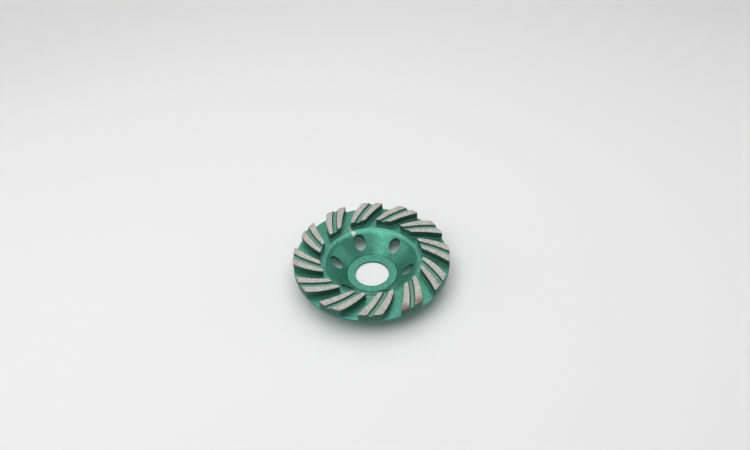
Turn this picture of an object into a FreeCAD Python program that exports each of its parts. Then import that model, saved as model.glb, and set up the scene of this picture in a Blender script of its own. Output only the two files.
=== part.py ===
import FreeCAD, Part
import math
import os

import Sketcher
from FreeCAD import Placement, Rotation, Vector

# Diamond cup grinding wheel: a stamped steel cup with twelve swept diamond segments on its flange.
# Millimetres and degrees. Z is the wheel's axis. The wheel lies on the back of its hub, at Z = 0,
# with the segments upwards.

doc = FreeCAD.newDocument("CupWheel")

# Driving dimensions: alias, value, what it measures
DIMENSIONS = [
    ("bore_diameter", 22.23, "spindle bore in the hub"),
    ("hub_flat_diameter", 33.6, "flat ring round the bore, to where the wall starts to rise"),
    ("mouth_diameter", 62.8, "bowl's mouth, to where its lip becomes the flat flange"),
    ("flange_width", 18.6, "flat flange, from the lip to the rim"),
    ("cup_height", 13.8, "back of the hub to the top of the flange"),
    ("sheet_thickness", 1.8, "steel sheet that the cup is stamped from"),
    ("lip_radius", 6, "outside of the bend between wall and flange"),
    ("rim_chamfer", 0.4, "broken lower edge of the rim"),
    ("vent_count", 6, "holes through the bowl's wall"),
    ("vent_diameter", 7.8, "one vent hole, seen along the axis"),
    ("vent_circle_diameter", 46.8, "circle that the vent holes stand on"),
    ("first_vent_angle", 48.7, "first vent hole, from +X"),
    ("segment_count", 12, "segments round the flange"),
    ("first_segment_angle", 27.5, "middle of the first segment's outer end, from +X"),
    ("segment_height", 5.3, "flange to the segments' grinding face"),
    ("segment_land", 1.0, "flat strip of flange between the lip and the segments' feet"),
    ("segment_sweep", 17.3, "how far the inner end is turned ahead of the outer end"),
    ("segment_inner_width", 10.1, "inner end, along its arc"),
    ("segment_outer_width", 14.8, "outer end, along the rim"),
    ("bulging_side_radius", 45, "curve of the side that bulges"),
    ("hollow_side_radius", 90, "curve of the side that is hollow"),
    ("corner_chamfer", 0.3, "upright corners of the segment"),
    ("foot_ledge", 0.4, "how far the foot stands out at the block's sides and inner end"),
    ("foot_height", 0.5, "height of the foot"),
    ("groove_width", 3.5, "groove at the grinding face"),
    ("groove_depth", 1.4, "groove below the grinding face"),
    ("groove_wall_angle", 25, "draft of the groove's walls"),
    ("groove_curve_radius", 75, "middle line of the groove"),
]

sheet = doc.addObject("Spreadsheet::Sheet", "Sizes")
for row, (alias, value, meaning) in enumerate(DIMENSIONS, start=1):
    sheet.set(f"A{row}", alias)
    sheet.set(f"B{row}", str(value))
    sheet.set(f"C{row}", meaning)
    sheet.setAlias(f"B{row}", alias)
doc.recompute()


def size(alias):
    """A driving dimension, as it stands in the sheet."""
    return float(sheet.get(alias))


def rim_radius():
    """Radius of the rim, where the flange and the segments end."""
    return size("mouth_diameter") / 2 + size("flange_width")


def block_inner_radius():
    """Radius of the blocks' inner ends, about the wheel's axis."""
    return size("mouth_diameter") / 2 + size("segment_land") + size("foot_ledge")


# The same two radii as formulas for the features
RIM_RADIUS = "(Sizes.mouth_diameter / 2 + Sizes.flange_width)"
BLOCK_INNER_RADIUS = "(Sizes.mouth_diameter / 2 + Sizes.segment_land + Sizes.foot_ledge)"

# How a sketch constraint names the sketch's origin point and its X axis
ORIGIN = (-1, 1)
X_AXIS = -1

# Lengths that differ by less than this are the same length
TOLERANCE = 0.001


def origin_plane(body, role):
    """One of the body's own origin planes."""
    return next(item for item in body.Origin.OriginFeatures if item.Role == role)


def new_sketch(body, name, role):
    """An empty sketch on one of the body's origin planes."""
    sketch = body.newObject("Sketcher::SketchObject", name)
    sketch.AttachmentSupport = [(origin_plane(body, role), "")]
    sketch.MapMode = "FlatFace"
    return sketch


def bind(sketch, name, kind, places, value, formula):
    """Add a dimension to the sketch and tie it to the sheet."""
    index = sketch.addConstraint(Sketcher.Constraint(kind, *places, value))
    sketch.renameConstraint(index, name)
    sketch.setExpression(f"Constraints.{name}", formula)


def join(sketch, kind, pairs):
    """Join ends of the outline: each pair is (curve, end, curve, end)."""
    for pair in pairs:
        sketch.addConstraint(Sketcher.Constraint(kind, *pair))


def line(x1, y1, x2, y2):
    return Part.LineSegment(Vector(x1, y1, 0), Vector(x2, y2, 0))


def arc(centre, radius, start, end):
    """An arc that runs counter-clockwise from the start angle to the end angle, in radians."""
    return Part.ArcOfCircle(Part.Circle(Vector(*centre, 0), Vector(0, 0, 1), radius), start, end)


def check_sketch(sketch):
    if sketch.solve() != 0 or not sketch.FullyConstrained:
        raise RuntimeError(f"{sketch.Name} isn't solved")


# Cup: one piece of sheet steel, stamped and pierced. The section runs from the flat hub up the
# dished wall, over the rounded lip and out along the flat flange, at the sheet's full thickness.

def cup_section(body):
    bore = size("bore_diameter") / 2
    hub = size("hub_flat_diameter") / 2
    mouth = size("mouth_diameter") / 2
    rim = rim_radius()
    top = size("cup_height")
    sheet_metal = size("sheet_thickness")
    lip = size("lip_radius")

    # The wall rises from a crisp crease, where the hub ends, and runs straight into the lip. The
    # back keeps the sheet's thickness, so it is round under the crease.
    crease = (hub, sheet_metal)
    lip_centre = (mouth, top - lip)
    across = lip_centre[0] - crease[0]
    up = lip_centre[1] - crease[1]
    slope = math.atan2(up, across) + math.asin(lip / math.hypot(across, up))

    def beside_wall(centre, radius, side):
        return centre[0] + side * radius * math.sin(slope), centre[1] - side * radius * math.cos(slope)

    wall_top = beside_wall(lip_centre, lip, -1)
    wall_back_top = beside_wall(lip_centre, lip - sheet_metal, -1)
    wall_back_foot = beside_wall(crease, sheet_metal, 1)
    down = -math.pi / 2
    upright = math.pi / 2

    sketch = new_sketch(body, "CupSection", "XZ_Plane")
    sketch.addGeometry([
        line(bore, sheet_metal, *crease),
        line(*crease, *wall_top),
        arc(lip_centre, lip, upright, upright + slope),
        line(mouth, top, rim, top),
        line(rim, top, rim, top - sheet_metal),
        line(rim, top - sheet_metal, mouth, top - sheet_metal),
        arc(lip_centre, lip - sheet_metal, upright, upright + slope),
        line(*wall_back_top, *wall_back_foot),
        arc(crease, sheet_metal, down, down + slope),
        line(hub, 0, bore, 0),
        line(bore, 0, bore, sheet_metal),
    ], False)
    (hub_face, wall, lip_bend, flange, rim_edge, flange_back,
     lip_back, wall_back, crease_back, hub_back, bore_edge) = range(11)

    join(sketch, "Tangent", [
        (wall, 2, lip_bend, 2), (lip_bend, 1, flange, 1),
        (flange_back, 2, lip_back, 1), (lip_back, 2, wall_back, 1),
        (wall_back, 2, crease_back, 2), (crease_back, 1, hub_back, 1),
    ])
    join(sketch, "Coincident", [
        (hub_face, 2, wall, 1), (hub_face, 2, crease_back, 3), (lip_bend, 3, lip_back, 3),
        (flange, 2, rim_edge, 1), (rim_edge, 2, flange_back, 1),
        (hub_back, 2, bore_edge, 1), (bore_edge, 2, hub_face, 1),
    ])
    join(sketch, "Horizontal", [(hub_face,), (flange,), (flange_back,), (hub_back,)])
    join(sketch, "Vertical", [(rim_edge,), (bore_edge,)])
    join(sketch, "PointOnObject", [(hub_back, 1, X_AXIS)])

    bind(sketch, "bore", "DistanceX", (*ORIGIN, hub_face, 1), bore, "Sizes.bore_diameter / 2")
    bind(sketch, "hub", "DistanceX", (*ORIGIN, hub_face, 2), hub, "Sizes.hub_flat_diameter / 2")
    bind(sketch, "mouth", "DistanceX", (*ORIGIN, flange, 1), mouth, "Sizes.mouth_diameter / 2")
    bind(sketch, "rim", "DistanceX", (*ORIGIN, flange, 2), rim, RIM_RADIUS)
    bind(sketch, "height", "DistanceY", (*ORIGIN, flange, 1), top, "Sizes.cup_height")
    bind(sketch, "hub_sheet", "DistanceY", (*ORIGIN, hub_face, 1), sheet_metal, "Sizes.sheet_thickness")
    bind(sketch, "rim_sheet", "DistanceY", (rim_edge, 2, rim_edge, 1), sheet_metal,
         "Sizes.sheet_thickness")
    bind(sketch, "lip_bend", "Radius", (lip_bend,), lip, "Sizes.lip_radius")
    check_sketch(sketch)
    return sketch


def make_cup():
    body = doc.addObject("PartDesign::Body", "CupBody")
    body.Label = "cup_body"

    section = cup_section(body)
    stamping = body.newObject("PartDesign::Revolution", "Stamping")
    stamping.Profile = section
    stamping.ReferenceAxis = (section, ["V_Axis"])
    stamping.Angle = 360
    doc.recompute()

    # The holes are pierced straight down, so they are oval in the sloping wall
    vent_sketch = new_sketch(body, "VentSketch", "XY_Plane")
    reach = size("vent_circle_diameter") / 2
    turn = math.radians(size("first_vent_angle"))
    hole_centre = Vector(reach * math.cos(turn), reach * math.sin(turn), 0)
    hole_radius = size("vent_diameter") / 2
    hole = vent_sketch.addGeometry(Part.Circle(hole_centre, Vector(0, 0, 1), hole_radius), False)
    bind(vent_sketch, "centre_x", "DistanceX", (*ORIGIN, hole, 3), hole_centre.x,
         "Sizes.vent_circle_diameter / 2 * cos(Sizes.first_vent_angle)")
    bind(vent_sketch, "centre_y", "DistanceY", (*ORIGIN, hole, 3), hole_centre.y,
         "Sizes.vent_circle_diameter / 2 * sin(Sizes.first_vent_angle)")
    bind(vent_sketch, "diameter", "Diameter", (hole,), 2 * hole_radius, "Sizes.vent_diameter")
    check_sketch(vent_sketch)

    vent = body.newObject("PartDesign::Pocket", "Vent")
    vent.Profile = vent_sketch
    vent.Type = "ThroughAll"
    vent.Reversed = True
    doc.recompute()
    if vent.Shape.Volume >= stamping.Shape.Volume:
        raise RuntimeError("the vent cuts nothing")

    vents = body.newObject("PartDesign::PolarPattern", "Vents")
    vents.Originals = [vent]
    vents.Axis = (vent_sketch, ["N_Axis"])
    vents.Angle = 360
    vents.setExpression("Occurrences", "Sizes.vent_count")
    body.Tip = vents
    doc.recompute()

    lower_edge = size("cup_height") - size("sheet_thickness")
    rim_edges = [
        f"Edge{number}" for number, edge in enumerate(vents.Shape.Edges, start=1)
        if abs(edge.BoundBox.XMax - rim_radius()) < TOLERANCE
        and abs(edge.BoundBox.ZMin - lower_edge) < TOLERANCE
        and edge.BoundBox.ZLength < TOLERANCE
    ]
    broken_edge = body.newObject("PartDesign::Chamfer", "BrokenRimEdge")
    broken_edge.Base = (vents, rim_edges)
    broken_edge.setExpression("Size", "Sizes.rim_chamfer")
    body.Tip = broken_edge
    doc.recompute()
    return body


# Segments: diamond grit in metal, pressed and sintered onto the flange. Each is one piece: a low
# foot, and on it a block with curved sides that widens outwards and has one groove along it. Both
# end flush with the rim. A segment is drawn with the middle of its outer end on +X, standing on
# its own XY plane.

def polar(radius, angle):
    return radius * math.cos(angle), radius * math.sin(angle)


def arc_between(start, end, radius):
    """The short arc of this radius from start to end, bulging to the left of that way."""
    middle = ((start[0] + end[0]) / 2, (start[1] + end[1]) / 2)
    way = (end[0] - start[0], end[1] - start[1])
    half = math.hypot(*way) / 2
    offset = math.sqrt(radius ** 2 - half ** 2) / (2 * half)
    centre = (middle[0] + way[1] * offset, middle[1] - way[0] * offset)
    angle_start = math.atan2(start[1] - centre[1], start[0] - centre[0])
    angle_end = math.atan2(end[1] - centre[1], end[0] - centre[0])
    return arc(centre, radius, angle_end, angle_start)


def segment_outline(body, name, margin, margin_formula):
    """Outline of the block, or of its foot, which stands out round it by the margin."""
    inner = block_inner_radius() - margin
    outer = rim_radius()
    sweep = math.radians(size("segment_sweep"))
    inner_half = (size("segment_inner_width") / 2 + margin) / inner
    outer_half = (size("segment_outer_width") / 2 + margin) / outer
    bulging = size("bulging_side_radius") + margin
    hollow = size("hollow_side_radius") - margin

    inner_ahead = polar(inner, sweep + inner_half)
    inner_behind = polar(inner, sweep - inner_half)
    outer_ahead = polar(outer, outer_half)
    outer_behind = polar(outer, -outer_half)

    sketch = new_sketch(body, name, "XY_Plane")
    sketch.addGeometry([
        arc((0, 0), inner, sweep - inner_half, sweep + inner_half),
        arc((0, 0), outer, -outer_half, outer_half),
        arc_between(inner_ahead, outer_ahead, bulging),
        arc_between(inner_behind, outer_behind, hollow),
    ], False)
    inner_end, outer_end, bulging_side, hollow_side = range(4)
    join(sketch, "Coincident", [
        (inner_end, 3, *ORIGIN), (outer_end, 3, *ORIGIN),
        (inner_end, 2, bulging_side, 2), (outer_end, 2, bulging_side, 1),
        (inner_end, 1, hollow_side, 2), (outer_end, 1, hollow_side, 1),
    ])

    inner_formula = f"{BLOCK_INNER_RADIUS} - {margin_formula}"
    inner_turn = f"((Sizes.segment_inner_width / 2 + {margin_formula}) / ({inner_formula})) * 180 / pi"
    outer_turn = f"((Sizes.segment_outer_width / 2 + {margin_formula}) / {RIM_RADIUS}) * 180 / pi"
    bind(sketch, "inner_radius", "Radius", (inner_end,), inner, inner_formula)
    bind(sketch, "outer_radius", "Radius", (outer_end,), outer, RIM_RADIUS)
    bind(sketch, "bulging", "Radius", (bulging_side,), bulging,
         f"Sizes.bulging_side_radius + {margin_formula}")
    bind(sketch, "hollow", "Radius", (hollow_side,), hollow,
         f"Sizes.hollow_side_radius - {margin_formula}")
    bind(sketch, "inner_ahead", "DistanceY", (*ORIGIN, inner_end, 2), inner_ahead[1],
         f"({inner_formula}) * sin(Sizes.segment_sweep + {inner_turn})")
    bind(sketch, "inner_behind", "DistanceY", (*ORIGIN, inner_end, 1), inner_behind[1],
         f"({inner_formula}) * sin(Sizes.segment_sweep - {inner_turn})")
    bind(sketch, "outer_ahead", "DistanceY", (*ORIGIN, outer_end, 2), outer_ahead[1],
         f"{RIM_RADIUS} * sin({outer_turn})")
    bind(sketch, "outer_behind", "DistanceY", (*ORIGIN, outer_end, 1), outer_behind[1],
         f"-{RIM_RADIUS} * sin({outer_turn})")
    check_sketch(sketch)
    return sketch


def groove_outline(body, name):
    """Band of even width along the block's middle.

    It runs one groove depth past both ends of the block, which is further than the drafted ends of
    the cut come back in.
    """
    inner = block_inner_radius()
    outer = rim_radius()
    sweep = math.radians(size("segment_sweep"))
    curve = size("groove_curve_radius")
    half_width = size("groove_width") / 2
    run_out = size("groove_depth")

    inner_middle = polar(inner, sweep)
    outer_middle = (outer, 0)
    middle_line = arc_between(inner_middle, outer_middle, curve)
    centre = (middle_line.Center.x, middle_line.Center.y)

    def where_crossed(radius, end_radius):
        """Angle, seen from the band's centre, at which it crosses a circle about the axis."""
        away = math.hypot(*centre)
        back_to_axis = math.atan2(-centre[1], -centre[0])
        opening = math.acos((radius ** 2 + away ** 2 - end_radius ** 2) / (2 * radius * away))
        return back_to_axis - opening

    inside = curve - half_width
    outside = curve + half_width
    inner_reach = inner - run_out
    outer_reach = outer + run_out
    bands = [
        arc(centre, radius, where_crossed(radius, outer_reach), where_crossed(radius, inner_reach))
        for radius in (inside, outside)
    ]

    def end_arc(reach, band_ends):
        return arc((0, 0), reach, *sorted(math.atan2(point.y, point.x) for point in band_ends))

    sketch = new_sketch(body, name, "XY_Plane")
    sketch.setExpression(".AttachmentOffset.Base.z", "Sizes.segment_height")
    sketch.addGeometry([
        *bands,
        end_arc(inner_reach, [band.EndPoint for band in bands]),
        end_arc(outer_reach, [band.StartPoint for band in bands]),
    ], False)
    sketch.addGeometry(middle_line, True)
    inside_band, outside_band, inner_end, outer_end, middle = range(5)
    join(sketch, "Coincident", [
        (inner_end, 3, *ORIGIN), (outer_end, 3, *ORIGIN),
        (inside_band, 3, middle, 3), (outside_band, 3, middle, 3),
        (inner_end, 1, inside_band, 2), (inner_end, 2, outside_band, 2),
        (outer_end, 1, inside_band, 1), (outer_end, 2, outside_band, 1),
    ])
    bind(sketch, "curve", "Radius", (middle,), curve, "Sizes.groove_curve_radius")
    bind(sketch, "inside", "Radius", (inside_band,), inside,
         "Sizes.groove_curve_radius - Sizes.groove_width / 2")
    bind(sketch, "outside", "Radius", (outside_band,), outside,
         "Sizes.groove_curve_radius + Sizes.groove_width / 2")
    bind(sketch, "inner_reach", "Radius", (inner_end,), inner_reach,
         f"{BLOCK_INNER_RADIUS} - Sizes.groove_depth")
    bind(sketch, "outer_reach", "Radius", (outer_end,), outer_reach,
         f"{RIM_RADIUS} + Sizes.groove_depth")
    bind(sketch, "inner_x", "DistanceX", (*ORIGIN, middle, 2), inner_middle[0],
         f"{BLOCK_INNER_RADIUS} * cos(Sizes.segment_sweep)")
    bind(sketch, "inner_y", "DistanceY", (*ORIGIN, middle, 2), inner_middle[1],
         f"{BLOCK_INNER_RADIUS} * sin(Sizes.segment_sweep)")
    bind(sketch, "outer_x", "DistanceX", (*ORIGIN, middle, 1), outer, RIM_RADIUS)
    join(sketch, "PointOnObject", [(middle, 1, X_AXIS)])
    check_sketch(sketch)
    return sketch


def upright_edges(shape, height):
    """Names of the straight upright edges of this height."""
    return [
        f"Edge{number}" for number, edge in enumerate(shape.Edges, start=1)
        if abs(edge.BoundBox.ZLength - height) < TOLERANCE
        and edge.BoundBox.DiagonalLength < height + TOLERANCE
    ]


def make_segment(number):
    body = doc.addObject("PartDesign::Body", f"Segment{number:02d}")
    body.Label = f"segment_{number:02d}"

    foot = body.newObject("PartDesign::Pad", f"Foot{number:02d}")
    foot.Profile = segment_outline(body, f"FootSketch{number:02d}", size("foot_ledge"), "Sizes.foot_ledge")
    foot.setExpression("Length", "Sizes.foot_height")

    block = body.newObject("PartDesign::Pad", f"Block{number:02d}")
    block.Profile = segment_outline(body, f"BlockSketch{number:02d}", 0, "0")
    block.setExpression("Length", "Sizes.segment_height")
    doc.recompute()

    corners = body.newObject("PartDesign::Chamfer", f"Corners{number:02d}")
    block_height = size("segment_height") - size("foot_height")
    corners.Base = (block, upright_edges(block.Shape, block_height))
    corners.setExpression("Size", "Sizes.corner_chamfer")
    doc.recompute()
    solid_volume = corners.Shape.Volume

    groove = body.newObject("PartDesign::Pocket", f"Groove{number:02d}")
    groove.Profile = groove_outline(body, f"GrooveSketch{number:02d}")
    groove.setExpression("Length", "Sizes.groove_depth")
    groove.setExpression("TaperAngle", "-Sizes.groove_wall_angle")
    body.Tip = groove
    doc.recompute()
    if groove.Shape.Volume >= solid_volume:
        raise RuntimeError(f"the groove of {body.Label} cuts nothing")

    # Seated on the flange, turned to its place in the ring
    place = Vector(0, 0, size("cup_height"))
    body.Placement = Placement(place, Rotation(Vector(0, 0, 1), size("first_segment_angle")))
    body.setExpression(".Placement.Base.z", "Sizes.cup_height")
    body.setExpression(".Placement.Rotation.Angle",
                       f"Sizes.first_segment_angle + {number - 1} * 360 / Sizes.segment_count")
    doc.recompute()
    return body


pieces = [make_cup()]
for segment_number in range(1, int(size("segment_count")) + 1):
    pieces.append(make_segment(segment_number))
doc.recompute()

for item in doc.Objects:
    if "Invalid" in item.State or "Error" in item.State:
        raise RuntimeError(f"{item.Name} failed: {item.State}")

os.makedirs("parts", exist_ok=True)
for piece in pieces:
    shape = piece.Shape
    if shape.isNull() or not shape.isValid() or len(shape.Solids) != 1:
        raise RuntimeError(f"{piece.Label} isn't one valid solid")
    shape.exportStep(f"parts/{piece.Label}.step")
    print(f"{piece.Label}: {shape.Volume:.1f} mm3")
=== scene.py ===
import math

import bmesh
import bpy
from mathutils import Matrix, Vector


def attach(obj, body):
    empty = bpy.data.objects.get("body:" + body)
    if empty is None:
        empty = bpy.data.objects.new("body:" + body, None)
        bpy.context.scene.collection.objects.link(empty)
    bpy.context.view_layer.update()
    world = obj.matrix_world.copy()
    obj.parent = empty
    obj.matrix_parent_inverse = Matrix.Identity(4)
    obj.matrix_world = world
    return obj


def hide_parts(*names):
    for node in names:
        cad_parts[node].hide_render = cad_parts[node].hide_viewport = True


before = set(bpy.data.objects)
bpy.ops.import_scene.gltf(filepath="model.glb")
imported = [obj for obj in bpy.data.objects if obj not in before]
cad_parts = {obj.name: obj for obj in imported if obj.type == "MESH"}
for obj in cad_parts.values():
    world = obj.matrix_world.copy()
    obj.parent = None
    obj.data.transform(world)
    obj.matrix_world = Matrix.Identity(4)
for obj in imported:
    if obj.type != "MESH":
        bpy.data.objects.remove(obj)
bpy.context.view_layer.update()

# The cup: one disc of 1.8 mm sheet steel, pierced with a bore and six vent holes, pressed into a
# bowl with a flat flange round it, and sprayed all over with green metallic paint.

MM = 0.001
SHEET = 1.8 * MM
BORE_RADIUS = 11.115 * MM
HUB_RADIUS = 16.3 * MM
MOUTH_RADIUS = 31.4 * MM
RIM_RADIUS = 50 * MM
CUP_HEIGHT = 13.8 * MM
LIP_RADIUS = 6 * MM
VENTS = 6
VENT_RADIUS = 3.9 * MM
VENT_CIRCLE = 23.4 * MM
FIRST_VENT = math.radians(48.7)

# How far its edges are rounded
RIM_BACK_EDGE = 0.4 * MM
RIM_FRONT_EDGE = 0.25 * MM
BORE_BACK_EDGE = 0.15 * MM
BORE_FRONT_EDGE = 0.35 * MM
VENT_EDGE = 0.12 * MM
HUB_EDGE = 0.2 * MM

# How finely it is divided, round the axis, from the bore out to the rim, and along the bends
ROUND_STEPS = 192
FORM_ROUND_STEPS = 720
HUB_RINGS = [11.9 * MM, 13.2 * MM, 14.6 * MM, 15.8 * MM]
WALL_RINGS = 8
FLANGE_RINGS = [32 * MM, 34.5 * MM, 38 * MM, 42 * MM, 46 * MM, 49 * MM]
FRAME_CUTS = 9
LIP_STEPS = 24
CREASE_STEPS = 12
BLANK_HEIGHT = 30 * MM

# The wall rises from the hub's crease in a straight line that runs into the lip's bend
lip_centre = (MOUTH_RADIUS, CUP_HEIGHT - LIP_RADIUS)
rise, run = lip_centre[1] - SHEET, lip_centre[0] - HUB_RADIUS
slope = math.atan2(rise, run) + math.asin(LIP_RADIUS / math.hypot(rise, run))
wall_top = math.pi / 2 + slope


def bend(centre, radius, start, end, steps):
    """Points along an arc, start and end included."""
    turns = [start + (end - start) * count / steps for count in range(steps + 1)]
    return [(centre[0] + radius * math.cos(turn), centre[1] + radius * math.sin(turn))
            for turn in turns]


def start_piece(name, add, **settings):
    """A new piece, in edit mode, that starts as the primitive that add makes."""
    bpy.ops.object.select_all(action="DESELECT")
    add(enter_editmode=True, **settings)
    piece = bpy.context.object
    piece.name = piece.data.name = name
    return piece


def draw_line(name, points):
    """A new piece, in edit mode, that is a line drawn from point to point."""
    piece = start_piece(name, bpy.ops.mesh.primitive_plane_add, size=MM, location=(0, 0, 0))
    bpy.ops.mesh.select_mode(type="VERT")
    bpy.ops.mesh.merge(type="CENTER")
    bpy.ops.transform.translate(value=points[0])
    for last, point in zip(points, points[1:]):
        way = Vector(point) - Vector(last)
        bpy.ops.mesh.extrude_vertices_move(TRANSFORM_OT_translate={"value": way})
    return piece


def pick(kind, wanted):
    """Selects those verts or edges of the piece in edit mode that wanted says yes to."""
    bpy.ops.mesh.select_mode(type={"verts": "VERT", "edges": "EDGE"}[kind])
    bpy.ops.mesh.select_all(action="DESELECT")
    shape = bmesh.from_edit_mesh(bpy.context.object.data)
    for element in getattr(shape, kind):
        if wanted(element):
            element.select_set(True)
    shape.select_flush_mode()
    bmesh.update_edit_mesh(bpy.context.object.data)


def turn_faces_out():
    bpy.ops.mesh.select_all(action="SELECT")
    bpy.ops.mesh.normals_make_consistent(inside=False)


def ends(edge):
    return [corner.co for corner in edge.verts]


def from_axis(place):
    return math.hypot(place.x, place.y)


def same(length, other):
    return abs(length - other) < 0.01 * MM


def press_form(name, section):
    """The form that one face of the sheet is pressed on: its section spun about the axis."""
    form = draw_line(name, [(reach, 0, height) for reach, height in section])
    bpy.ops.mesh.select_all(action="SELECT")
    bpy.ops.mesh.spin(steps=FORM_ROUND_STEPS, angle=math.tau, center=(0, 0, 0), axis=(0, 0, 1))
    bpy.ops.mesh.select_all(action="SELECT")
    bpy.ops.mesh.remove_doubles(threshold=0.0005 * MM)
    bpy.ops.object.mode_set(mode="OBJECT")
    return form


# Each form reaches 1 mm past the sheet at the bore and at the rim
front_form = press_form("front_form", [
    (BORE_RADIUS - MM, SHEET),
    (HUB_RADIUS, SHEET),
    *bend(lip_centre, LIP_RADIUS, wall_top, math.pi / 2, LIP_STEPS),
    (RIM_RADIUS + MM, CUP_HEIGHT),
])
back_form = press_form("back_form", [
    (BORE_RADIUS - MM, 0),
    *bend((HUB_RADIUS, SHEET), SHEET, -math.pi / 2, slope - math.pi / 2, CREASE_STEPS),
    *bend(lip_centre, LIP_RADIUS - SHEET, wall_top, math.pi / 2, LIP_STEPS),
    (RIM_RADIUS + MM, CUP_HEIGHT - SHEET),
])

# The flat blank, ring by ring from the bore out, with the band that becomes the wall left as six
# open frames, each of which is then filled in to the edge of its own hole
cup = start_piece("stamped_cup", bpy.ops.mesh.primitive_circle_add, vertices=ROUND_STEPS,
                  radius=BORE_RADIUS, location=(0, 0, 0))
bpy.ops.transform.translate(value=(0, 0, BLANK_HEIGHT))
wall_rings = [HUB_RADIUS + (MOUTH_RADIUS - HUB_RADIUS) * ring / WALL_RINGS
              for ring in range(1, WALL_RINGS + 1)]
reach = BORE_RADIUS
for ring in [*HUB_RINGS, HUB_RADIUS, *wall_rings, *FLANGE_RINGS, RIM_RADIUS]:
    bpy.ops.mesh.extrude_region_move()
    bpy.ops.transform.resize(value=(ring / reach, ring / reach, 1), center_override=(0, 0, 0))
    reach = ring


def in_frame(place, number, slack):
    """Whether a place is in the part of the wall round one hole, with some slack at its edges."""
    turn = math.remainder(math.atan2(place.y, place.x) - number * math.tau / VENTS, math.tau)
    return (abs(turn) < math.pi / VENTS + slack / HUB_RADIUS
            and HUB_RADIUS - slack < from_axis(place) < MOUTH_RADIUS + slack)


def vent_middle(number):
    turn = number * math.tau / VENTS
    return VENT_CIRCLE * math.cos(turn), VENT_CIRCLE * math.sin(turn)


def round_vent(edge, number):
    """Whether an edge runs along one hole's own edge."""
    x, y = vent_middle(number)
    return all(same(math.hypot(end.x - x, end.y - y), VENT_RADIUS) for end in ends(edge))


pick("verts", lambda corner: any(in_frame(corner.co, number, -0.1 * MM) for number in range(VENTS)))
bpy.ops.mesh.delete(type="VERT")
bpy.ops.mesh.select_mode(type="EDGE")
for number in range(VENTS):
    bpy.ops.mesh.primitive_circle_add(
        vertices=2 * (ROUND_STEPS // VENTS + WALL_RINGS), radius=VENT_RADIUS,
        rotation=(0, 0, number * math.tau / VENTS), location=(*vent_middle(number), BLANK_HEIGHT))
for number in range(VENTS):
    pick("edges", lambda edge: all(in_frame(end, number, 0.01 * MM) for end in ends(edge)))
    bpy.ops.mesh.bridge_edge_loops(number_cuts=FRAME_CUTS, interpolation="LINEAR")
bpy.ops.object.mode_set(mode="OBJECT")

# One blank is pressed down on each form, and the two faces are closed at the bore, rim and holes
bpy.ops.object.duplicate()
cup_back = bpy.context.object
for face, form in ((cup, front_form), (cup_back, back_form)):
    bpy.context.view_layer.objects.active = face
    pressing = face.modifiers.new("pressing", "SHRINKWRAP")
    pressing.target = form
    pressing.wrap_method = "PROJECT"
    pressing.use_project_z = True
    pressing.use_positive_direction = False
    pressing.use_negative_direction = True
    bpy.ops.object.modifier_apply(modifier="pressing")
    bpy.data.objects.remove(form)
cup.select_set(True)
bpy.context.view_layer.objects.active = cup
bpy.ops.object.join()
bpy.ops.object.mode_set(mode="EDIT")
for radius in (BORE_RADIUS, RIM_RADIUS):
    pick("edges", lambda edge: all(same(from_axis(end), radius) for end in ends(edge)))
    bpy.ops.mesh.bridge_edge_loops()
for number in range(VENTS):
    pick("edges", lambda edge: round_vent(edge, number))
    bpy.ops.mesh.bridge_edge_loops()
turn_faces_out()


def break_edges(width, wanted):
    """Rounds the edges that wanted says yes to."""
    pick("edges", wanted)
    bpy.ops.mesh.bevel(offset=width, segments=2, affect="EDGES", clamp_overlap=False)


def ring_at(radius, height):
    return lambda edge: all(same(from_axis(end), radius) and same(end.z, height)
                            for end in ends(edge))


def at_vents(edge):
    """Whether an edge runs along a hole, and not straight through the sheet."""
    along = edge.verts[0].co - edge.verts[1].co
    return along.xy.length > 0.05 * MM and any(round_vent(edge, number) for number in range(VENTS))


break_edges(RIM_BACK_EDGE, ring_at(RIM_RADIUS, CUP_HEIGHT - SHEET))
break_edges(RIM_FRONT_EDGE, ring_at(RIM_RADIUS, CUP_HEIGHT))
break_edges(BORE_BACK_EDGE, ring_at(BORE_RADIUS, 0))
break_edges(BORE_FRONT_EDGE, ring_at(BORE_RADIUS, SHEET))
break_edges(VENT_EDGE, at_vents)
break_edges(HUB_EDGE, ring_at(HUB_RADIUS, SHEET))


def finish_piece(piece, sharp=40):
    """Merges doubles, turns the faces out and shades them, sharp only past that many degrees."""
    bpy.ops.mesh.select_all(action="SELECT")
    bpy.ops.mesh.remove_doubles(threshold=0.002 * MM)
    turn_faces_out()
    bpy.ops.object.mode_set(mode="OBJECT")
    bpy.ops.object.transform_apply(location=True, rotation=True, scale=True)
    bpy.ops.object.shade_smooth_by_angle(angle=math.radians(sharp))
    piece.modifiers.new("even_faces", "WEIGHTED_NORMAL").keep_sharp = True
    bpy.ops.object.modifier_apply(modifier="even_faces")


cup.rotation_euler.z = FIRST_VENT
finish_piece(cup)


def connect(material, socket, value):
    """Gives a socket another node's output, or a number or colour of its own."""
    if isinstance(value, bpy.types.NodeSocket):
        material.node_tree.links.new(value, socket)
    else:
        socket.default_value = value


def node(material, kind, settings=None, **inputs):
    """A new node. Its inputs go by name, or by number as i0, i1 and so on."""
    made = material.node_tree.nodes.new(kind)
    for name, value in (settings or {}).items():
        setattr(made, name, value)
    for name, value in inputs.items():
        numbered = name[0] == "i" and name[1:].isdigit()
        socket = made.inputs[int(name[1:]) if numbered else name.replace("_", " ")]
        connect(material, socket, value)
    return made


def space(material, kind):
    return node(material, "ShaderNodeTexCoord").outputs[kind]


def upward(material, vector):
    """How far up a vector points."""
    return node(material, "ShaderNodeSeparateXYZ", i0=vector).outputs["Z"]


def reach_of(material, vector):
    """How long a vector is."""
    length = node(material, "ShaderNodeVectorMath", {"operation": "LENGTH"}, i0=vector)
    return length.outputs["Value"]


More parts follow.
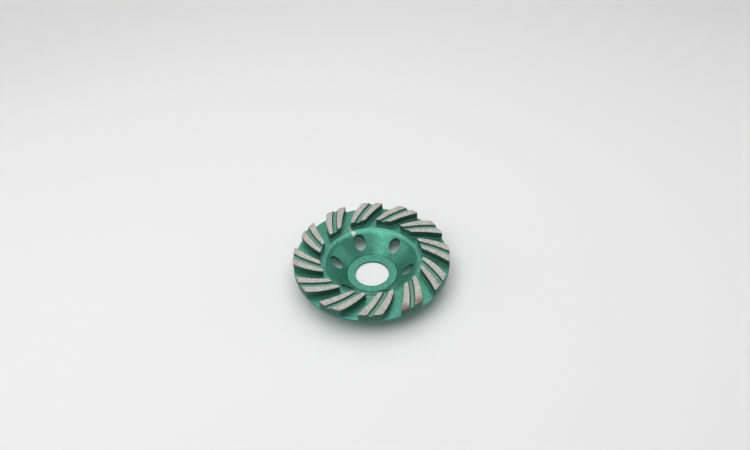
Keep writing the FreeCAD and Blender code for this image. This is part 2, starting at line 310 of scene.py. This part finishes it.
def combine(material, operation, first, *others):
    """Numbers worked out together, from left to right."""
    for other in others:
        first = node(material, "ShaderNodeMath", {"operation": operation},
                     i0=first, i1=other).outputs[0]
    return first


def apart(material, value, middle):
    """How far a value is from the middle one, either way."""
    away = combine(material, "SUBTRACT", value, middle)
    return node(material, "ShaderNodeMath", {"operation": "ABSOLUTE"}, i0=away).outputs[0]


def noise(material, place, size, detail=2.0, roughness=0.5):
    """Soft random patches of about that size, from 0 to 1."""
    return node(material, "ShaderNodeTexNoise", Vector=place, Scale=1 / size,
                Detail=detail, Roughness=roughness).outputs["Fac"]


def step(material, value, low, high, out_low=0.0, out_high=1.0):
    """Value from low to high made out_low to out_high, with soft ends."""
    return node(material, "ShaderNodeMapRange", {"interpolation_type": "SMOOTHSTEP"},
                i0=value, i1=low, i2=high, i3=out_low, i4=out_high).outputs["Result"]


def cover(material, colour, *layers):
    """A colour with others laid over it in turn, each as thick as its amount, from 0 to 1."""
    for amount, over in layers:
        colour = node(material, "ShaderNodeMix", {"data_type": "RGBA"},
                      i0=amount, i6=colour, i7=over).outputs[2]
    return colour


def mm(*lengths):
    return tuple(length * MM for length in lengths)


def mark(material, place, centre, turn, size, grain, fading=0.25):
    """A worn or stained oval, or a painted highlight, 1 inside and 0 outside, with a ragged edge
    that fades that slowly.
    """
    ragged_edge = 1.42
    oval = node(material, "ShaderNodeMapping", {"vector_type": "TEXTURE"}, Vector=place,
                Location=centre, Rotation=(0, 0, math.radians(turn)), Scale=size)
    ragged = combine(material, "ADD", reach_of(material, oval.outputs["Vector"]),
                     noise(material, place, grain, 4, 0.7))
    return step(material, ragged, ragged_edge + fading / 2, ragged_edge - fading / 2)


def bump(material, height, depth):
    """Bumps of that depth, where height goes from 0 to 1."""
    return node(material, "ShaderNodeBump", Height=height, Distance=depth,
                Strength=1.0).outputs["Normal"]


def start_finish(name):
    """A new surface finish: its material and the piece's own coordinates."""
    material = bpy.data.materials.new(name)
    material.use_nodes = True
    return material, space(material, "Object")


def set_finish(material, **looks):
    shader = material.node_tree.nodes["Principled BSDF"]
    for name, value in looks.items():
        connect(material, shader.inputs[name.replace("_", " ")], value)


# Green metallic paint: a fine sparkling grain, faint clouding, painted shade on upright faces and
# in the crease round the hub, one scrape across the lip beside a vent, where the paint is rubbed
# pale, and a painted highlight along the near part of the lip
DARK_FLAKES = (0.038, 0.210, 0.146, 1)
BRIGHT_FLAKES = (0.132, 0.463, 0.340, 1)
CLOUDED_PAINT = (0.070, 0.310, 0.220, 1)
# Painted shade on upright faces: the sides of the rim, the bore and the vents
UPRIGHT_SHADE = (0.022, 0.095, 0.070, 1)
# Painted shade in the crease round the hub
CREASE_SHADE = (0.020, 0.100, 0.072, 1)
# A painted highlight along the near part of the lip
NEAR_LIP_HIGHLIGHT = (0.42, 0.46, 0.38, 1)
RUBBED_PAINT = (0.30, 0.40, 0.33, 1)
SCRAPED_PAINT = (0.47, 0.51, 0.44, 1)
FLAKE_SIZE = 0.8 * MM
CLOUD_SIZE = 14 * MM
PEEL_SIZE = 1.1 * MM
PEEL_DEPTH = 0.05 * MM

paint, place = start_finish("green_metallic_paint")
flakes = noise(paint, place, FLAKE_SIZE, 4, 0.75)
clouds = noise(paint, place, CLOUD_SIZE, 3, 0.6)
peel = combine(paint, "ADD", noise(paint, place, PEEL_SIZE, 2),
               combine(paint, "MULTIPLY", flakes, 0.5))
facing = upward(paint, space(paint, "Normal"))
front = step(paint, facing, 0.1, 0.4)
# Painted shade: upright faces are darkened, as the metallic paint is dark where it turns from the
# light
upright_shade_mask = step(paint, apart(paint, facing, 0), 0.5, 0.2, 0, 0.6)
# Painted shade: the paint darkens towards the crease round the hub
level_place = node(paint, "ShaderNodeVectorMath", {"operation": "MULTIPLY"}, i0=place, i1=(1, 1, 0))
off_crease = apart(paint, reach_of(paint, level_place.outputs["Vector"]), HUB_RADIUS + 0.2 * MM)
# The pale stripe along the near part of the lip is a painted highlight
lip_highlight_mask = mark(paint, place, mm(-4, -30.4, 13.2), -8, mm(8.5, 0.9, 3), 1.5 * MM)
smear = mark(paint, place, mm(-13.6, 30.6, 13.8), 120, mm(3.2, 1.6, 2), 1.6 * MM)
scrape = combine(paint, "MAXIMUM",
                 mark(paint, place, mm(-12.1, 27.2, 13.0), 114, mm(4.4, 1.2, 3), 2.2 * MM, 0.6),
                 mark(paint, place, mm(-11.2, 26.7, 12.9), 24, mm(1.5, 1.0, 3), 1.1 * MM, 0.8))
colour = cover(paint, DARK_FLAKES,
               (step(paint, flakes, 0.35, 0.65), BRIGHT_FLAKES),
               (step(paint, clouds, 0.35, 0.7, 0, 0.35), CLOUDED_PAINT),
               (upright_shade_mask, UPRIGHT_SHADE),
               (step(paint, off_crease, 0.55 * MM, 0.1 * MM, 0, 0.6), CREASE_SHADE),
               (combine(paint, "MULTIPLY", lip_highlight_mask, front, 0.5), NEAR_LIP_HIGHLIGHT),
               (combine(paint, "MULTIPLY", smear, front, 0.45), RUBBED_PAINT),
               (combine(paint, "MULTIPLY", scrape, front), SCRAPED_PAINT))
set_finish(paint, Base_Color=colour, Metallic=0.7, Specular_IOR_Level=0.5,
           Roughness=step(paint, flakes, 0.3, 0.7, 0.40, 0.31),
           Normal=bump(paint, peel, PEEL_DEPTH))
cup.data.materials.append(paint)
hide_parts("cup_body")
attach(cup, "root")

# The segments: twelve like blocks of diamond grit in metal powder, pressed, sintered and brazed on
# the flange by a low foot. Each is swept, wider at the rim, and has one groove pressed along it.
# They were painted with the cup, and their tops have since been ground bare.

SEGMENTS = 12
FIRST_SEGMENT = math.radians(27.5)
SEGMENT_HEIGHT = 5.3 * MM
SWEEP = math.radians(17.3)
INNER_WIDTH = 10.1 * MM
OUTER_WIDTH = 14.8 * MM
BLOCK_INNER = 32.8 * MM
BULGING_RADIUS = 45 * MM
HOLLOW_RADIUS = 90 * MM
CORNER_RADIUS = 1.1 * MM
BLOCK_EDGE = 0.18 * MM
FOOT_LEDGE = 0.4 * MM
FOOT_HEIGHT = 0.5 * MM
FOOT_EDGE = 0.12 * MM
FOOT_INSIDE_RIM = 0.06 * MM
SEATED = 0.03 * MM
GROOVE_WIDTH = 3.5 * MM
GROOVE_DEPTH = 1.4 * MM
GROOVE_DRAFT = math.radians(25)
GROOVE_RADIUS = 75 * MM
ROUNDED_CORNER = math.radians(35)


def on_circle(radius, turn):
    return Vector((radius * math.cos(turn), radius * math.sin(turn)))


def arc_centre(start, end, radius):
    """Middle of the arc of this radius from start to end that bulges to the left of that way."""
    way = end - start
    offset = math.sqrt(radius ** 2 - (way.length / 2) ** 2) / way.length
    return (start + end) / 2 + Vector((way.y, -way.x)) * offset


def end_turns(centre, start, end):
    """Which way an arc's two ends lie from its middle."""
    first, last = start - centre, end - centre
    return math.atan2(first.y, first.x), math.atan2(last.y, last.x)


def side(start, end, radius):
    centre = arc_centre(start, end, radius)
    return bend(centre, radius, *end_turns(centre, start, end), 12)


def fill_outline():
    bpy.ops.mesh.select_all(action="SELECT")
    bpy.ops.mesh.edge_face_add()


def slab(name, margin, outer, low, high):
    """A solid with the block's outline, or that of its foot, which stands out round it."""
    inner = BLOCK_INNER - margin
    inner_half = (INNER_WIDTH / 2 + margin) / inner
    outer_half = (OUTER_WIDTH / 2 + margin) / RIM_RADIUS
    inner_ahead, inner_behind = (on_circle(inner, SWEEP + half)
                                 for half in (inner_half, -inner_half))
    outer_ahead, outer_behind = (on_circle(outer, half)
                                 for half in (outer_half, -outer_half))
    outline = [
        *side(inner_ahead, outer_ahead, BULGING_RADIUS + margin),
        *bend((0, 0), outer, outer_half, -outer_half, 9)[1:],
        *reversed(side(inner_behind, outer_behind, HOLLOW_RADIUS - margin)[:-1]),
        *bend((0, 0), inner, SWEEP - inner_half, SWEEP + inner_half, 6)[1:-1],
    ]
    piece = draw_line(name, [(x, y, low) for x, y in outline])
    fill_outline()
    bpy.ops.mesh.extrude_region_move(TRANSFORM_OT_translate={"value": (0, 0, high - low)})
    turn_faces_out()
    pick("edges", lambda edge: not same(*(end.z for end in ends(edge)))
         and edge.calc_face_angle(0) > ROUNDED_CORNER)
    bpy.ops.mesh.bevel(offset=CORNER_RADIUS, segments=5, affect="EDGES", clamp_overlap=False)
    bpy.ops.object.mode_set(mode="OBJECT")
    return piece


def round_edges(piece, width):
    rounding = piece.modifiers.new("rounding", "BEVEL")
    rounding.width = width
    rounding.segments = 2
    rounding.limit_method = "ANGLE"
    rounding.angle_limit = ROUNDED_CORNER
    rounding.use_clamp_overlap = False
    bpy.context.view_layer.objects.active = piece
    bpy.ops.object.modifier_apply(modifier="rounding")


def work_in(piece, operation, other):
    """Cuts another solid out of a piece, or makes it one with it, and does away with the other."""
    work = piece.modifiers.new("work", "BOOLEAN")
    work.object = other
    work.operation = operation
    work.solver = "EXACT"
    bpy.context.view_layer.objects.active = piece
    bpy.ops.object.modifier_apply(modifier="work")
    bpy.data.objects.remove(other)


foot = slab("foot", FOOT_LEDGE, RIM_RADIUS - FOOT_INSIDE_RIM, -SEATED, FOOT_HEIGHT)
round_edges(foot, FOOT_EDGE)
block = slab("block", 0, RIM_RADIUS, SEATED, SEGMENT_HEIGHT)

# The groove's cutter: a drafted bar, wider at the top, spun along the groove's bend. It stands
# proud of the block's top and runs on past both its ends
groove_start, groove_end = on_circle(BLOCK_INNER, SWEEP), on_circle(RIM_RADIUS, 0)
groove_centre = arc_centre(groove_start, groove_end, GROOVE_RADIUS)
first_turn, last_turn = end_turns(groove_centre, groove_start, groove_end)
run_on = 2.5 * MM / GROOVE_RADIUS
proud = 0.5 * MM
floor_half = GROOVE_WIDTH / 2 - GROOVE_DEPTH * math.tan(GROOVE_DRAFT)
top_half = GROOVE_WIDTH / 2 + proud * math.tan(GROOVE_DRAFT)
section = [(-floor_half, -GROOVE_DEPTH), (floor_half, -GROOVE_DEPTH),
           (top_half, proud), (-top_half, proud)]
outward = on_circle(1, first_turn + run_on)
cutter = draw_line("groove_cutter", [
    (*(groove_centre + outward * (GROOVE_RADIUS + across)), SEGMENT_HEIGHT + height)
    for across, height in section])
fill_outline()
bpy.ops.mesh.spin(steps=26, angle=first_turn - last_turn + 2 * run_on,
                  center=(*groove_centre, 0), axis=(0, 0, 1))
turn_faces_out()
bpy.ops.object.mode_set(mode="OBJECT")
work_in(block, "DIFFERENCE", cutter)
bpy.ops.object.mode_set(mode="EDIT")
bpy.ops.mesh.select_all(action="SELECT")
bpy.ops.mesh.remove_doubles(threshold=0.12 * MM)
bpy.ops.object.mode_set(mode="OBJECT")
round_edges(block, BLOCK_EDGE)
work_in(block, "UNION", foot)
bpy.ops.object.select_all(action="DESELECT")
block.select_set(True)
bpy.ops.object.mode_set(mode="EDIT")
bpy.ops.mesh.select_all(action="SELECT")
bpy.ops.transform.translate(value=(0, 0, CUP_HEIGHT))
finish_piece(block, 50)

# Where the metal is bare: on the level tops, and a little way down the sides, where it is uneven
TOP = CUP_HEIGHT + SEGMENT_HEIGHT
GRIT_SIZE = 0.75 * MM
PATCH_SIZE = 3.2 * MM
PIT_SPACING = 2.1 * MM
SURFACE_DEPTH = 0.08 * MM

sintered, place = start_finish("sintered_segment")
height = upward(sintered, place)
level = step(sintered, upward(sintered, space(sintered, "Normal")), 0.75, 0.95)
grit = noise(sintered, place, GRIT_SIZE, 5, 0.8)
patches = noise(sintered, place, PATCH_SIZE, 3, 0.6)
top = combine(sintered, "MULTIPLY", level, step(sintered, height, TOP - 0.5 * MM, TOP - 0.3 * MM))
worn = combine(sintered, "ADD", height, combine(sintered, "MULTIPLY", grit, 1.1 * MM))
worn = step(sintered, worn, TOP + 0.25 * MM, TOP + 0.5 * MM)
bare = combine(sintered, "MAXIMUM", top, worn)

# The bare metal: grey with a warm cast in patches, browner towards the rim, and pitted
DARK_METAL = (0.31, 0.295, 0.255, 1)
BRIGHT_METAL = (0.74, 0.725, 0.665, 1)
WARM_METAL = (0.47, 0.43, 0.38, 1)
BROWN_METAL = (0.34, 0.26, 0.225, 1)
PIT = (0.10, 0.07, 0.058, 1)
near_rim = step(sintered, reach_of(sintered, place), 49 * MM, 53.5 * MM)
brown = step(sintered, noise(sintered, place, 2.6 * MM, 3, 0.65), 0.46, 0.64, 0, 0.6)
cells = node(sintered, "ShaderNodeTexVoronoi", Vector=place, Scale=1 / PIT_SPACING, Randomness=1.0)
crowding = combine(sintered, "MULTIPLY", noise(sintered, place, 4 * MM, 1), 0.3)
from_pit = combine(sintered, "ADD", cells.outputs["Distance"], crowding)
metal = cover(sintered, DARK_METAL,
              (step(sintered, grit, 0.34, 0.66), BRIGHT_METAL),
              (step(sintered, patches, 0.45, 0.65, 0, 0.45), WARM_METAL),
              (combine(sintered, "MULTIPLY", near_rim, brown), BROWN_METAL),
              (step(sintered, from_pit, 0.38, 0.26, 0, 0.75), PIT))

# The paint left on the sides, thin over the dark metal and darker still as painted shade, its
# dusty layer in the groove, and a painted highlight round the foot
# The sides' green: thin paint over dark metal, with painted shade that darkens it well below the
# cup's paint
SIDE_PAINT_SHADED_DARK = (0.025, 0.090, 0.069, 1)
SIDE_PAINT_SHADED_LIGHT = (0.060, 0.175, 0.135, 1)
DARK_FILM = (0.062, 0.220, 0.162, 1)
DUSTY_FILM = (0.175, 0.400, 0.31, 1)
# Painted highlight: the foot's ledge is painted bright where it catches the light
PAINTED_FOOT_HIGHLIGHT = (0.13, 0.42, 0.31, 1)
# The level faces' dusty layer, with the painted highlight on the foot's ledge
level_film_and_foot_highlight = cover(sintered, DARK_FILM,
             (step(sintered, grit, 0.35, 0.62), DUSTY_FILM),
             (step(sintered, height, CUP_HEIGHT + 1.2 * MM, CUP_HEIGHT + 0.8 * MM), PAINTED_FOOT_HIGHLIGHT))
green = cover(sintered, SIDE_PAINT_SHADED_DARK, (step(sintered, grit, 0.3, 0.7), SIDE_PAINT_SHADED_LIGHT), (level, level_film_and_foot_highlight))

# Rust has crept in from the rim on the two ridges of one segment
RUST = (0.27, 0.145, 0.12, 1)
rust = combine(sintered, "MAXIMUM",
               mark(sintered, place, mm(19.2, -46.6, 19), -67, mm(4.6, 3.6, 3), 1.4 * MM, 0.9),
               mark(sintered, place, mm(28.9, -41.8, 19), -55, mm(5.0, 3.6, 3), 1.4 * MM, 0.9))
rust = combine(sintered, "MULTIPLY", rust, step(sintered, bare, 0, 1, 0.2, 0.85))

painted_side = combine(sintered, "MULTIPLY", step(sintered, level, 1, 0),
                       step(sintered, bare, 1, 0))
surface = combine(sintered, "ADD", grit, combine(sintered, "MULTIPLY", patches, 0.5))
set_finish(sintered, Base_Color=cover(sintered, green, (bare, metal), (rust, RUST)),
           Metallic=combine(sintered, "MULTIPLY", painted_side, 0.5), Specular_IOR_Level=0.4,
           Roughness=step(sintered, bare, 0, 1, 0.5, 0.7),
           Normal=bump(sintered, surface, SURFACE_DEPTH))
block.data.materials.append(sintered)

for number in range(1, SEGMENTS + 1):
    segment = block.copy()
    segment.data = block.data.copy()
    segment.name = segment.data.name = f"sintered_segment_{number:02d}"
    bpy.context.scene.collection.objects.link(segment)
    bpy.ops.object.select_all(action="DESELECT")
    segment.select_set(True)
    bpy.context.view_layer.objects.active = segment
    segment.rotation_euler.z = FIRST_SEGMENT + (number - 1) * math.tau / SEGMENTS
    bpy.ops.object.transform_apply(location=True, rotation=True, scale=True)
    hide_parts(f"segment_{number:02d}")
    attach(segment, "root")
bpy.data.objects.remove(block)

# The floor: a plain pale matt sheet that the wheel lies on, back down. It is a hair below the
# hub's back, so that the two don't share one plane.

FLOOR_SIZE = 6
FLOOR_DROP = 0.02 * MM
FLOOR_GREY = (0.92, 0.92, 0.92, 1)
WHITE = (1, 1, 1, 1)

bpy.ops.object.select_all(action="DESELECT")
bpy.ops.mesh.primitive_plane_add(size=FLOOR_SIZE, location=(0, 0, 0))
bpy.ops.transform.translate(value=(0, 0, -FLOOR_DROP))
bpy.ops.object.transform_apply(location=True)
ground = bpy.context.object
ground.name = ground.data.name = "ground"


def background_rays(material):
    """1 for what sees the background as such: the camera, and what is reflected or seen through."""
    seen = node(material, "ShaderNodeLightPath").outputs
    return combine(material, "MAXIMUM", seen["Is Glossy Ray"], seen["Is Transmission Ray"],
                   seen["Is Camera Ray"])


# Far out, past the lamps' reach, it stays as pale as round the wheel
pale, place = start_finish("pale_floor")
far_out = step(pale, reach_of(pale, place), 0.45, 1.3, 0, 0.7)
set_finish(pale, Base_Color=FLOOR_GREY, Metallic=0.0, Specular_IOR_Level=0.2, Roughness=0.9,
           Emission_Color=WHITE,
           Emission_Strength=combine(pale, "MULTIPLY", background_rays(pale), far_out))
ground.data.materials.append(pale)

# The light: a wide soft lamp right overhead, a weaker one behind it, one at the front left, and two
# low weak ones at the sides. Little shines from the front, so what faces there is dark.


def lamp(name, location, aim, width, depth, watts):
    bpy.ops.object.light_add(type="AREA", location=location)
    made = bpy.context.object
    made.name = name
    made.data.shape = "RECTANGLE"
    made.data.size, made.data.size_y = width, depth
    made.data.energy = watts
    made.rotation_euler = (Vector(aim) - Vector(location)).to_track_quat("-Z", "Y").to_euler()


lamp("overhead", (-0.02, -0.03, 0.75), (-0.02, -0.03, 0), width=1.0, depth=0.94, watts=5.3)
lamp("behind", (-0.02, 0.76, 0.75), (-0.02, 0.76, 0), width=1.0, depth=0.64, watts=1.95)
lamp("front_left", (-0.42, -0.42, 0.70), (0, 0, 0), width=0.6, depth=0.6, watts=1.5)
lamp("right", (0.75, 0, 0.26), (0, 0, 0.01), width=0.5, depth=0.4, watts=0.8)
lamp("left", (-0.75, 0, 0.26), (0, 0, 0.01), width=0.5, depth=0.4, watts=0.8)

# Behind the floor's edge there is a pale wall, low down, which the camera and anything glossy see,
# and which lights little
DIM_LIGHT = 0.03
WALL_BRIGHTNESS = 0.82
world = bpy.data.worlds.new("pale_surround")
bpy.context.scene.world = world
world.use_nodes = True
low_down = step(world, upward(world, space(world, "Generated")), 0.35, 0.2)
wall = combine(world, "MULTIPLY", background_rays(world), low_down)
background = world.node_tree.nodes["Background"]
connect(world, background.inputs["Color"], WHITE)
connect(world, background.inputs["Strength"], step(world, wall, 0, 1, DIM_LIGHT, WALL_BRIGHTNESS))

# The view: the photograph's, from about 0.46 m off, in front and above, looking 42.9 degrees down
# and turned 2.5 degrees on itself.

CAMERA_PLACE = (0.003246, -0.315409, 0.337220)
LOOKING_DOWN = 42.872
TURNED = -2.518
LENS = 33.7
SENSOR_WIDTH = 36
NEAREST = 0.01

bpy.ops.object.camera_add(location=CAMERA_PLACE)
camera = bpy.context.object
camera.rotation_mode = "ZYX"
camera.rotation_euler = (math.radians(90 - LOOKING_DOWN), 0, math.radians(TURNED))
camera.data.lens = LENS
camera.data.sensor_width = SENSOR_WIDTH
camera.data.clip_start = NEAREST
bpy.context.scene.camera = camera
bpy.context.scene.view_settings.view_transform = "Standard"
